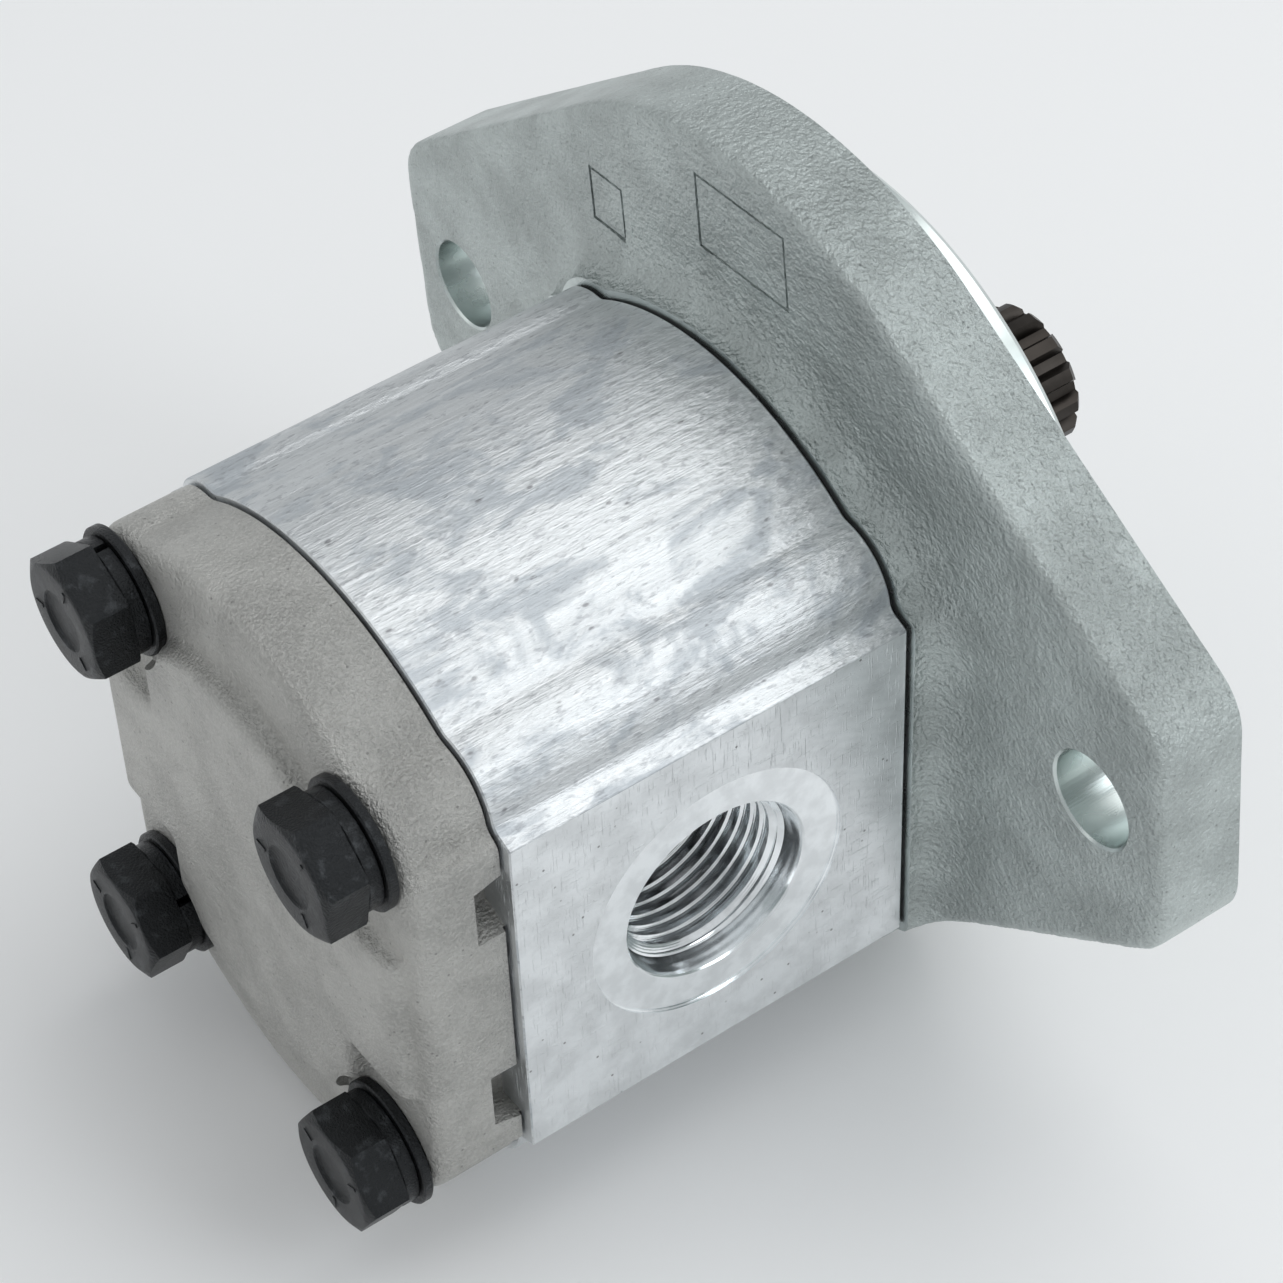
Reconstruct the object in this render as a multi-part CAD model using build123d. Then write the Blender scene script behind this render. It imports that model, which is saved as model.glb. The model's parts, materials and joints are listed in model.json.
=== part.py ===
"""External gear pump with a two-bolt flange, a splined shaft and threaded side ports.

The origin is the centre of the flange's mounting face, on the drive shaft's axis.
+Y points out along the shaft, +Z from the idler gear up to the drive gear,
and +X to the side of the larger port. All sizes are in millimetres.
"""
import math
import os

from build123d import *

# --- driving dimensions -------------------------------------------------------
gear_centres = 31.0
tooth_count = 12
mid_z = -gear_centres / 2

# stack along the shaft, from the mounting face back
seam_front = -18.0
seam_rear = -82.0
gear_front = -38.0
gear_rear = -62.0
bolt_seat = -96.0
plate_rear = -13.5

# flange
flange_turn = 5.0
hole_spacing = 146.0
hole_radius = 7.15
flange_disc = 63.0
ear_length = 86.5
ear_half_height = 22.5
ear_round = 9.0
pilot_radius = 50.8
pilot_length = 9.6
neck_fillet = 3.5

# cover bolts, about the middle of the two gear axes
bolt_x = 28.0
bolt_z = 31.0
bolt_radius = 4.95
bolt_length = 95.0
head_height = 6.4
head_across_flats = 17.0
lock_washer_height = 2.4
flat_washer_height = 1.6
body_bolt_hole = 5.5
tapped_hole = 5.0
tapped_end = -2.0

# body outline: round top and bottom, a boss round each bolt, and lips beside the port faces
body_radius = 49.0
body_half_width = 41.0
boss_radius = 9.6
lip_z = 30.4
lip_slope = 22.0
body_section = dict(grow=0.0, half_width=body_half_width, lip_round=0.5, top_blend=3.0, lip_blend=2.0)
neck_section = dict(grow=1.0, half_width=body_half_width + 1, lip_round=1.0, top_blend=6.0, lip_blend=5.0)
cover_section = dict(grow=-0.8, half_width=39.2, lip_round=1.5, top_blend=4.0, lip_blend=2.0)

# gears and journals
tip_radius = 17.88
root_radius = 12.75
tooth_module = gear_centres / (tooth_count + 1)
tooth_backlash = 0.16
side_clearance = 0.05
journal_radius = 11.0
journal_end = 1.0
chamber_radius = 17.95

# bearing blocks and bushes
block_radius = 17.92
block_end_gap = 0.1
bush_radius = 12.5
bush_bore = 11.03

# splined end
spline_teeth = 13
spline_module = 25.4 / 16
spline_major = 10.9
spline_minor = 9.3
spline_start = 11.0
shaft_end = 38.0
shaft_chamfer = 1.0

# ports
port_y = (seam_front + seam_rear) / 2
inlet = dict(spot=20.6, mouth=14.6, seat=13.7, bore=12.6, throat=10.0)
outlet = dict(spot=17.0, mouth=12.2, seat=11.3, bore=10.3, throat=8.0)
spot_depth = 0.4
seat_depth = 3.4
thread_depth = 21.0

# seals
body_seal_radius = 21.5
body_seal_width = 2.4
body_seal_height = 1.9
groove_play = 0.1
axial_seal = dict(radius=15.55, width=2.0, leg_x=7.2)
axial_backup = dict(radius=13.95, width=1.1, leg_x=5.55)
axial_groove_depth = 2.1
seal_tail_angle = 35.0

# rotary shaft seal and its circlip
shaft_bore = 11.8
seal_pocket_radius = 17.5
seal_pocket_floor = -2.0
seal_front = 5.0
lip_bore = 11.04
ring_groove_radius = 18.6
ring_rear = 5.4
ring_thickness = 1.3
ring_bore = 15.8

# dowels
dowel_radius = 3.0
dowel_x = 33.0
dowel_z = 8.0
dowel_half_length = 7.0
dowel_play = 0.03

# rear cover
cover_edge_round = 1.4
panel_rise = 2.6
panel_radius = 36.0
panel_top_radius = 34.5
panel_width = 47.0
pocket_z = 19.0
pocket_height = 12.7
pocket_length = 5.0
pocket_depth = 5.0

drive_axis = (0.0, 0.0)
idler_axis = (0.0, -gear_centres)
bolt_places = [(x, mid_z + z) for x in (-bolt_x, bolt_x) for z in (-bolt_z, bolt_z)]
dowel_places = [(dowel_x, mid_z + dowel_z), (-dowel_x, mid_z - dowel_z)]


# --- helpers ------------------------------------------------------------------
def between(profile, y_rear, y_front):
    """Solid of a profile drawn in X and Z, from y_rear to y_front."""
    return extrude(Plane.XZ.offset(-y_front) * profile, y_front - y_rear)


def disc(place, radius, y_rear, y_front):
    """Cylinder along Y at a place given in X and Z."""
    return between(Pos(*place) * Circle(radius), y_rear, y_front)


def spun(points, place=drive_axis):
    """Solid of revolution about the Y direction; points are (radius, y)."""
    outline = Polyline(*[(r, y, 0) for r, y in points], close=True)
    turned = revolve(make_face(outline), Axis.Y)
    return Pos(place[0], 0, place[1]) * turned


def polar(radius, degrees):
    return (radius * math.cos(math.radians(degrees)), radius * math.sin(math.radians(degrees)))


def involute(angle):
    return math.tan(angle) - angle


def mirrored_halves(edges):
    """Edges of one quarter of an outline, completed about both axes."""
    right = edges + [mirror(edge, Plane.XZ) for edge in edges]
    return right + [mirror(edge, Plane.YZ) for edge in right]


# --- outlines, drawn in X and Z -----------------------------------------------
def heading(vector):
    return math.degrees(math.atan2(vector.Y, vector.X))


def arc_between(centre, radius, first, last):
    """Arc about a centre, counterclockwise from one direction to another."""
    return CenterArc(centre, radius, heading(first), (heading(last) - heading(first)) % 360)


def meeting_point(first, first_distance, second, second_distance):
    """The point at these distances from two centres, on the left of the way from first to second."""
    gap = second - first
    along = (first_distance**2 - second_distance**2 + gap.length**2) / (2 * gap.length)
    across = math.sqrt(first_distance**2 - along**2)
    way = gap.normalized()
    return first + way * along + Vector(-way.Y, way.X) * across


def section(grow, half_width, lip_round, top_blend, lip_blend):
    """Outline of the body, or of a part that follows it, grown outwards by grow."""
    middle = Vector(0, 0)
    boss = Vector(bolt_x, bolt_z)
    slope = math.radians(lip_slope)
    lip_normal = Vector(math.sin(slope), math.cos(slope))
    lip_way = Vector(math.cos(slope), -math.sin(slope))
    lip_level = lip_normal.dot(Vector(body_half_width, lip_z)) + grow
    round_radius = body_radius + grow
    grown_boss = boss_radius + grow

    top_centre = meeting_point(middle, round_radius + top_blend, boss, grown_boss + top_blend)
    rise = lip_level + lip_blend - lip_normal.dot(boss)
    low_centre = boss + lip_normal * rise + lip_way * math.sqrt((grown_boss + lip_blend) ** 2 - rise**2)
    corner_x = half_width - lip_round
    corner = Vector(corner_x, (lip_level - lip_round - lip_normal.X * corner_x) / lip_normal.Y)
    quarter = [
        CenterArc(middle, round_radius, heading(top_centre), 90 - heading(top_centre)),
        arc_between(top_centre, top_blend, -top_centre, boss - top_centre),
        arc_between(boss, grown_boss, low_centre - boss, top_centre - boss),
        arc_between(low_centre, lip_blend, boss - low_centre, -lip_normal),
        Line(low_centre - lip_normal * lip_blend, corner + lip_normal * lip_round),
        arc_between(corner, lip_round, Vector(1, 0), lip_normal),
        Line(corner + Vector(lip_round, 0), (half_width, 0)),
    ]
    return Pos(0, mid_z) * make_face(mirrored_halves(quarter))


def flange_outline():
    """Tangent outline round the centre disc and the four ear corners."""
    corner_x = ear_length - ear_round
    corner_z = ear_half_height - ear_round
    rounds = [Pos(x, z) * Circle(ear_round) for x in (-corner_x, corner_x) for z in (-corner_z, corner_z)]
    edges = Circle(flange_disc).edges()
    for corner in rounds:
        edges = edges + corner.edges()
    return make_hull(edges)


def panel_outline():
    """Raised middle of the rear cover."""
    shape = Circle(panel_top_radius) & Rectangle(panel_width, 4 * panel_radius)
    shape = shape + Rectangle(2 * panel_radius, panel_width * 0.6)
    shape = fillet(shape.vertices(), 6)
    return Pos(0, mid_z) * shape


def twin_circles(radius):
    """Figure-eight section about the two gear axes."""
    return Pos(*drive_axis) * Circle(radius) + Pos(*idler_axis) * Circle(radius)


def seal_loop(radius, width):
    """Closed racetrack strip about both gear axes."""
    outer = SlotCenterToCenter(gear_centres, 2 * radius + width, rotation=90)
    inner = SlotCenterToCenter(gear_centres, 2 * radius - width, rotation=90)
    return Pos(0, mid_z) * (outer - inner)


def three_strip(radius, width, leg_x):
    """Open strip shaped like a 3: round each bush, with its legs joined on +X."""
    leg_angle = math.degrees(math.acos(leg_x / radius))
    sweep = 180 + seal_tail_angle + leg_angle
    upper = trace(CenterArc(drive_axis, radius, -leg_angle, sweep), width)
    lower = trace(CenterArc(idler_axis, radius, -180 - seal_tail_angle, sweep), width)
    leg_length = gear_centres - 2 * math.sqrt(radius**2 - leg_x**2)
    return upper + lower + Pos(leg_x, mid_z) * Rectangle(width, leg_length)


# --- gears --------------------------------------------------------------------
def toothed_profile(teeth, base_radius, pitch_radius, pitch_thickness, tip, root, tooth_at):
    """Involute gear or spline section with one tooth centred on tooth_at degrees."""
    pitch_angle = math.acos(base_radius / pitch_radius)

    def half_angle(radius):
        if radius <= base_radius:
            flank = 0.0
        else:
            flank = involute(math.acos(base_radius / radius))
        return math.degrees(pitch_thickness / (2 * pitch_radius) + involute(pitch_angle) - flank)

    flank_start = max(base_radius, root)
    radii = [flank_start + (tip - flank_start) * step / 6 for step in range(7)]
    pitch = 360 / teeth
    edges = []
    for tooth in range(teeth):
        centre = tooth_at + tooth * pitch
        rising = [polar(r, centre - half_angle(r)) for r in radii]
        falling = [polar(r, centre + half_angle(r)) for r in reversed(radii)]
        foot_in = polar(root, centre - half_angle(radii[0]))
        foot_out = polar(root, centre + half_angle(radii[0]))
        if root < flank_start:
            edges.append(Line(foot_in, rising[0]))
        edges.append(Spline(*rising))
        edges.append(ThreePointArc(rising[-1], polar(tip, centre), falling[0]))
        edges.append(Spline(*falling))
        if root < flank_start:
            edges.append(Line(falling[-1], foot_out))
        next_foot = polar(root, centre + pitch - half_angle(radii[0]))
        edges.append(ThreePointArc(foot_out, polar(root, centre + pitch / 2), next_foot))
    return make_face(edges)


def gear_profile(tooth_at):
    """Pump gear: 20 degree tool, shifted teeth that mesh at the working centre distance."""
    pitch_radius = gear_centres / 2
    base_radius = tooth_module * tooth_count / 2 * math.cos(math.radians(20))
    thickness = math.pi * pitch_radius / tooth_count - tooth_backlash / 2
    return toothed_profile(
        tooth_count, base_radius, pitch_radius, thickness, tip_radius, root_radius, tooth_at
    )


def spline_profile():
    """Thirteen-tooth 30 degree involute spline, 16/32 diametral pitch."""
    pitch_radius = spline_module * spline_teeth / 2
    base_radius = pitch_radius * math.cos(math.radians(30))
    thickness = math.pi * spline_module / 2 - 0.1
    return toothed_profile(
        spline_teeth, base_radius, pitch_radius, thickness, spline_major, spline_minor, 90
    )


def pump_gear(place, tooth_at):
    """Teeth between the two bearing blocks."""
    return between(
        Pos(*place) * gear_profile(tooth_at), gear_rear + side_clearance, gear_front - side_clearance
    )


def drive_gear_shaft():
    teeth = pump_gear(drive_axis, -90)
    shaft = spun(
        [
            (0, seam_rear + journal_end),
            (journal_radius - 1, seam_rear + journal_end),
            (journal_radius, seam_rear + journal_end + 1),
            (journal_radius, spline_start - 1.5),
            (spline_minor, spline_start),
            (spline_minor, shaft_end),
            (0, shaft_end),
        ]
    )
    chamfered = spun(
        [
            (0, spline_start - 1.5),
            (spline_major, spline_start - 1.5),
            (spline_major, shaft_end - shaft_chamfer),
            (spline_major - shaft_chamfer, shaft_end),
            (0, shaft_end),
        ]
    )
    spline = between(spline_profile(), spline_start - 1.5, shaft_end) & chamfered
    return teeth + shaft + spline


def idler_gear_shaft():
    teeth = pump_gear(idler_axis, 90 + 180 / tooth_count)
    rear_end = seam_rear + journal_end
    front_end = seam_front - journal_end
    shaft = spun(
        [
            (0, rear_end),
            (journal_radius - 1, rear_end),
            (journal_radius, rear_end + 1),
            (journal_radius, front_end - 1),
            (journal_radius - 1, front_end),
            (0, front_end),
        ],
        idler_axis,
    )
    return teeth + shaft


# --- covers and body ----------------------------------------------------------
def lies_at(edge, y):
    box = edge.bounding_box()
    return abs(box.min.Y - y) < 1e-4 and abs(box.max.Y - y) < 1e-4


def front_cover():
    flange = Rot(0, 0, flange_turn) * flange_outline()
    footprint = section(**neck_section)
    neck = between(footprint, seam_front, plate_rear)
    blank = neck + between(Rectangle(4 * ear_length, 4 * ear_length), plate_rear, 0)
    corner = [edge for edge in blank.edges() if lies_at(edge, plate_rear) and edge.length < ear_length * 2]
    blank = fillet(ShapeList(corner), neck_fillet)
    cover = blank & between(flange + footprint, seam_front, 0)
    pilot = disc(drive_axis, pilot_radius, 0, pilot_length)
    cover = cover + chamfer(pilot.edges().group_by(Axis.Y)[-1], 1.0)
    for side in (-1, 1):
        place = Vector(side * hole_spacing / 2, 0).rotate(Axis.Z, flange_turn)
        cover -= disc((place.X, place.Y), hole_radius, seam_front, 1)
    for place in bolt_places:
        cover -= disc(place, tapped_hole, seam_front - 1, tapped_end)
    for place in dowel_places:
        cover -= disc(place, dowel_radius + dowel_play, seam_front - 1, seam_front + dowel_half_length + 0.5)
    cover -= disc(drive_axis, shaft_bore, seam_front - 1, pilot_length)
    cover -= disc(drive_axis, seal_pocket_radius, seal_pocket_floor, pilot_length + 1)
    cover -= disc(drive_axis, ring_groove_radius, ring_rear, ring_rear + ring_thickness + 0.1)
    cover -= disc(idler_axis, journal_radius - 2, seam_front - 1, seam_front + 2)
    return cover


def port_cutter(port, side):
    """Spot face, seat cone, thread bore and the drilling into the gear chamber."""
    face = body_half_width
    floor = face - spot_depth
    seat_end = floor - seat_depth
    bore_start = seat_end - (port["seat"] - port["bore"])
    bore_end = face - thread_depth
    outline = Polyline(
        (0, 0),
        (0, port["throat"]),
        (bore_end, port["throat"]),
        (bore_end, port["bore"]),
        (bore_start, port["bore"]),
        (seat_end, port["seat"]),
        (floor, port["mouth"]),
        (floor, port["spot"]),
        (face + 5, port["spot"]),
        (face + 5, 0),
        close=True,
    )
    cutter = revolve(make_face(outline), Axis.X)
    turned = Rot(0, 0, 0 if side > 0 else 180) * cutter
    return Pos(0, port_y, mid_z) * turned


def pump_body():
    body = between(section(**body_section), seam_rear, seam_front)
    body -= between(twin_circles(chamber_radius), seam_rear - 1, seam_front + 1)
    body -= port_cutter(inlet, 1)
    body -= port_cutter(outlet, -1)
    for place in bolt_places:
        body -= disc(place, body_bolt_hole, seam_rear - 1, seam_front + 1)
    for place in dowel_places:
        body -= disc(place, dowel_radius + dowel_play, seam_rear - 1, seam_rear + dowel_half_length + 0.5)
        body -= disc(place, dowel_radius + dowel_play, seam_front - dowel_half_length - 0.5, seam_front + 1)
    groove = seal_loop(body_seal_radius, body_seal_width + 2 * groove_play)
    body -= between(groove, seam_rear - 1, seam_rear + body_seal_height)
    body -= between(groove, seam_front - body_seal_height, seam_front + 1)
    return body


def rear_cover():
    cover = between(section(**cover_section), bolt_seat, seam_rear)
    rear_rim = cover.edges().group_by(Axis.Y)[0]
    cover = fillet(rear_rim, cover_edge_round)
    panel = between(panel_outline(), bolt_seat - panel_rise, bolt_seat)
    panel = fillet(panel.edges().group_by(Axis.Y)[0], 1.8)
    cover = cover + panel
    for place in bolt_places:
        spot = disc(place, 11.0, bolt_seat - 2 * panel_rise, bolt_seat)
        cover -= spot
        cover -= disc(place, body_bolt_hole, bolt_seat - 10, seam_rear + 1)
    for place in dowel_places:
        cover -= disc(place, dowel_radius + dowel_play, seam_rear - dowel_half_length - 0.5, seam_rear + 1)
    for z in (-pocket_z, pocket_z):
        pocket = Pos(cover_section["half_width"], seam_rear, mid_z + z) * Box(
            2 * pocket_depth, 2 * pocket_length, pocket_height
        )
        cover -= pocket
    for place in (drive_axis, idler_axis):
        cover -= disc(place, journal_radius - 2, seam_rear - 2, seam_rear + 1)
    return cover


# --- bearing blocks, bushes and seals -----------------------------------------
def strip_groove(strip):
    return three_strip(strip["radius"], strip["width"] + groove_play, strip["leg_x"])


def bearing_block(y_rear, y_front, back_is_front):
    """Floating block with two bush bores, a 3-shaped seal groove and relief pockets."""
    block = between(twin_circles(block_radius), y_rear, y_front)
    for place in (drive_axis, idler_axis):
        block -= disc(place, bush_radius, y_rear - 1, y_front + 1)
    groove = strip_groove(axial_seal) + strip_groove(axial_backup)
    gear_side = y_rear if back_is_front else y_front
    if back_is_front:
        block -= between(groove, y_front - axial_groove_depth, y_front + 1)
    else:
        block -= between(groove, y_rear - 1, y_rear + axial_groove_depth)
    for side in (-1, 1):
        relief = Pos(side * 6.2, gear_side, mid_z) * Box(5.0, 3.0, 7.0)
        block -= relief
    return block


def front_bearing_block():
    return bearing_block(gear_front, seam_front - block_end_gap, True)


def rear_bearing_block():
    return bearing_block(seam_rear + block_end_gap, gear_rear, False)


def bush(place, y_rear, y_front):
    """Plain bush with a bevelled mouth at each end."""
    edge = 0.4
    return spun(
        [
            (bush_bore, y_rear + edge),
            (bush_bore + edge, y_rear),
            (bush_radius - edge, y_rear),
            (bush_radius, y_rear + edge),
            (bush_radius, y_front - edge),
            (bush_radius - edge, y_front),
            (bush_bore + edge, y_front),
            (bush_bore, y_front - edge),
        ],
        place,
    )


def axial_strip(strip, front):
    """Seal or backup strip standing in its groove and touching the cover."""
    height = block_end_gap + axial_groove_depth
    if front:
        return between(three_strip(**strip), seam_front - height, seam_front)
    return between(three_strip(**strip), seam_rear, seam_rear + height)


def body_seal(front):
    loop = seal_loop(body_seal_radius, body_seal_width)
    if front:
        return between(loop, seam_front - body_seal_height, seam_front)
    return between(loop, seam_rear, seam_rear + body_seal_height)


def shaft_seal_case():
    """Pressed steel case, open towards the oil."""
    wall = 1.2
    return spun(
        [
            (seal_pocket_radius - wall, seal_pocket_floor),
            (seal_pocket_radius, seal_pocket_floor),
            (seal_pocket_radius, seal_front),
            (13.2, seal_front),
            (13.2, seal_front - wall),
            (seal_pocket_radius - wall, seal_front - wall),
        ]
    )


def shaft_seal_lip():
    """Rubber lip bonded to the case's flange, with a groove for the spring."""
    root = seal_front - 1.2
    return spun(
        [
            (15.6, root),
            (12.2, root),
            (12.2, root - 0.9),
            (11.9, 1.2),
            (lip_bore, 0.2),
            (11.7, -1.0),
            (13.3, -1.0),
            (13.3, -0.55),
            (12.5, -0.55),
            (12.5, 0.95),
            (13.0, 0.95),
            (13.1, root - 1.2),
            (15.6, root - 1.0),
        ]
    )


def shaft_seal_spring():
    ring = Pos(0, 0.2, 0) * Rot(90, 0, 0) * Torus(13.25, 0.7)
    return ring


def seal_retaining_ring():
    """Internal circlip: a sprung ring, open at the bottom, with two plier lugs."""
    ring = Circle(ring_groove_radius - 0.1) - Circle(ring_bore)
    gap = 16.0
    wedge = make_face(Polyline((0, 0), polar(30, -90 - gap), polar(30, -90 + gap), close=True))
    ring = ring - wedge
    for side in (-1, 1):
        lug = Pos(*polar(15.3, -90 + side * (gap + 7.5))) * Circle(2.2)
        ring = ring + lug
    ring = ring & Circle(ring_groove_radius - 0.1)
    for side in (-1, 1):
        ring -= Pos(*polar(15.3, -90 + side * (gap + 7.5))) * Circle(1.1)
    return between(ring, ring_rear + 0.05, ring_rear + 0.05 + ring_thickness)


# --- fasteners ----------------------------------------------------------------
under_head = bolt_seat - flat_washer_height - lock_washer_height


def cover_bolt(place):
    """Hex-head bolt from the rear cover through the body into the flange."""
    hexagon = Pos(*place) * RegularPolygon(head_across_flats / 2, 6, major_radius=False)
    head = between(hexagon, under_head - head_height, under_head)
    crown = spun(
        [
            (0, under_head),
            (12, under_head),
            (12, under_head - head_height + 2.0),
            (8.1, under_head - head_height),
            (0, under_head - head_height),
        ],
        place,
    )
    shank = disc(place, bolt_radius, under_head, under_head + bolt_length)
    end_edges = shank.edges().group_by(Axis.Y)[-1]
    return (head & crown) + chamfer(end_edges, 1.0)


def lock_washer(place):
    """Split spring washer, flat when tightened."""
    ring = Circle(8.6) - Circle(5.2)
    slit = Pos(7, 0) * Rectangle(6, 0.8)
    ring = Pos(*place) * (Rot(0, 0, 40) * (ring - slit))
    return between(ring, under_head, under_head + lock_washer_height)


def flat_washer(place):
    ring = Pos(*place) * (Circle(9.6) - Circle(5.3))
    return between(ring, bolt_seat - flat_washer_height, bolt_seat)


def dowel(place, seam):
    pin = disc(place, dowel_radius, seam - dowel_half_length, seam + dowel_half_length)
    ends = pin.edges().filter_by(GeomType.CIRCLE)
    return chamfer(ends, 0.5)


# --- every node ---------------------------------------------------------------
rear_bush_span = (seam_rear + block_end_gap, gear_rear - 0.05)
front_bush_span = (gear_front + 0.05, seam_front - block_end_gap)

nodes = {
    "front_cover": front_cover(),
    "pump_body": pump_body(),
    "rear_cover": rear_cover(),
    "drive_gear_shaft": drive_gear_shaft(),
    "idler_gear_shaft": idler_gear_shaft(),
    "front_bearing_block": front_bearing_block(),
    "rear_bearing_block": rear_bearing_block(),
    "drive_front_bush": bush(drive_axis, *front_bush_span),
    "drive_rear_bush": bush(drive_axis, *rear_bush_span),
    "idler_front_bush": bush(idler_axis, *front_bush_span),
    "idler_rear_bush": bush(idler_axis, *rear_bush_span),
    "front_axial_seal": axial_strip(axial_seal, True),
    "rear_axial_seal": axial_strip(axial_seal, False),
    "front_seal_backup": axial_strip(axial_backup, True),
    "rear_seal_backup": axial_strip(axial_backup, False),
    "front_body_seal": body_seal(True),
    "rear_body_seal": body_seal(False),
    "shaft_seal_case": shaft_seal_case(),
    "shaft_seal_lip": shaft_seal_lip(),
    "shaft_seal_spring": shaft_seal_spring(),
    "seal_retaining_ring": seal_retaining_ring(),
    "cover_bolts": Compound(children=[cover_bolt(place) for place in bolt_places]),
    "lock_washers": Compound(children=[lock_washer(place) for place in bolt_places]),
    "flat_washers": Compound(children=[flat_washer(place) for place in bolt_places]),
    "front_dowel_pins": Compound(children=[dowel(place, seam_front) for place in dowel_places]),
    "rear_dowel_pins": Compound(children=[dowel(place, seam_rear) for place in dowel_places]),
}

os.makedirs("parts", exist_ok=True)
for name, shape in nodes.items():
    export_step(shape, f"parts/{name}.step")
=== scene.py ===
import json
import math
import random

import bmesh
import bpy
from mathutils import Matrix, Vector, noise


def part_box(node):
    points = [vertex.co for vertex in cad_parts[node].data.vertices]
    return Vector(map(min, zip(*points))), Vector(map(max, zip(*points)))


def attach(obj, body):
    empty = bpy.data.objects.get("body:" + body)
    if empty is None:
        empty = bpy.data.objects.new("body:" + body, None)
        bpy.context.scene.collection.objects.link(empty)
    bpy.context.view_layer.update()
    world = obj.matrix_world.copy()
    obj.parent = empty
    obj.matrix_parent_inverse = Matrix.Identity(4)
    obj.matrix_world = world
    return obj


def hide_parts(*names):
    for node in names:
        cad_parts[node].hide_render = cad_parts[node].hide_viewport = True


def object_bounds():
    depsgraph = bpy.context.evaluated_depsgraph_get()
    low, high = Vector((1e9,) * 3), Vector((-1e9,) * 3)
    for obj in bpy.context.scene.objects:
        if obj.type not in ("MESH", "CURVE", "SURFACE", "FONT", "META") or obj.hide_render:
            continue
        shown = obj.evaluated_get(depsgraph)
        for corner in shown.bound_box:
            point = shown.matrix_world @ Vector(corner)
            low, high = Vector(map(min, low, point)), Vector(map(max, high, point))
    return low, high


bl_info = {
    "name": "Hydraulic gear pump",
    "version": (1, 0, 0),
    "blender": (4, 5, 0),
    "location": "View3D > Sidebar > Gear pump",
    "description": "Finished castings, body, fasteners and materials of a flange-mounted gear pump",
    "category": "Object",
}

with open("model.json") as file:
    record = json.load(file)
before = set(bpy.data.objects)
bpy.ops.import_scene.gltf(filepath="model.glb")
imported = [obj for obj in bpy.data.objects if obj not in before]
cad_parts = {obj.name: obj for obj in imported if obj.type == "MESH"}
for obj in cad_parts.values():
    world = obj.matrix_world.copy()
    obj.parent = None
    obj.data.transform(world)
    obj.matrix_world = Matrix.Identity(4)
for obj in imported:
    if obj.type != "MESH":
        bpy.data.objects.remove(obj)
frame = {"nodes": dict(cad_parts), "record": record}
cad_low, cad_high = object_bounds()
mounts = {mount["name"]: mount for mount in frame["record"]["mounts"]}

MM = 0.001
HOUSING = "housing"
FINISH_PREFIX = "finished_"

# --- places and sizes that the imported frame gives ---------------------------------
body_low, body_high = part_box("pump_body")
cover_low, cover_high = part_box("rear_cover")
washer_low, washer_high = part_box("flat_washers")
lock_low, lock_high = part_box("lock_washers")
bolt_low, bolt_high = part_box("cover_bolts")
flange_low, flange_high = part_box("front_cover")
chamber_low, chamber_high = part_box("front_bearing_block")

SEAM_FRONT = body_high.y
SEAM_REAR = body_low.y
HALF_WIDTH = body_high.x
MID_Z = (body_low.z + body_high.z) / 2
BODY_RADIUS = (body_high.z - body_low.z) / 2
IDLER_Z = 2 * MID_Z
WASHER_RADIUS = 9.6 * MM
BOLT_X = washer_high.x - WASHER_RADIUS
BOLT_Z = washer_high.z - MID_Z - WASHER_RADIUS
BOLTS = [(x, MID_Z + z) for x in (-BOLT_X, BOLT_X) for z in (-BOLT_Z, BOLT_Z)]
SEAT_Y = washer_high.y
CHAMBER_RADIUS = chamber_high.x
PILOT_RADIUS = mounts["pilot"]["dims"]["r_mm"] * MM
EAR_BOLT_X = mounts["mounting_bolts"]["dims"]["pcd_mm"] * MM / 2
EAR_HOLE_RADIUS = mounts["mounting_bolts"]["dims"]["hole_r_mm"] * MM
FACE_X, _, FACE_Z = mounts["mounting_face"]["pos_m"]
FLANGE_TURN = math.atan2(FACE_Z, FACE_X)
PORT_Y = mounts["inlet_port"]["pos_m"][1]
INLET_BORE = mounts["inlet_port"]["dims"]["r_mm"] * MM
OUTLET_BORE = mounts["outlet_port"]["dims"]["r_mm"] * MM

# --- sizes of the outline, the same on cover, body and neck ------------------------
BOSS_RADIUS = 9.6 * MM
LIP_Z = 30.4 * MM
LIP_SLOPE = math.radians(22)
BODY_BLENDS = (3 * MM, 2 * MM)
NECK_BLENDS = (6 * MM, 5 * MM)
COVER_BLENDS = (4 * MM, 2 * MM)

# --- flange and neck ---------------------------------------------------------------
PLATE_REAR = -13.5 * MM
FLANGE_DISC = 63 * MM
EAR_ROUND = 9 * MM
EAR_CENTRE = (77.5 * MM, 13.5 * MM)
FLANGE_EDGE = 1.0 * MM
NECK_GROW = 1.0 * MM
NECK_LIP_ROUND = 1 * MM
FILLET_OUT = 8 * MM
FILLET_DEEP = SEAM_FRONT - PLATE_REAR
SHAFT_BORE = 11.8 * MM
SEAL_POCKET = 17.5 * MM
SEAL_FLOOR = -2 * MM
RING_GROOVE = 18.6 * MM
RING_REAR, RING_FRONT = 5.4 * MM, 6.8 * MM
TAPPED_HOLE = 5 * MM
TAPPED_END = -2 * MM
MARK_LINE = 0.5 * MM
MARK_DEPTH = 0.35 * MM
MARK_FRAMES = (
    (-1.3 * MM, 50.5 * MM, 9.9 * MM, 6.1 * MM),
    (-32.3 * MM, 36.5 * MM, 4.0 * MM, 4.5 * MM),
)
MARK_DOT = (31.5 * MM, 43 * MM)

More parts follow.
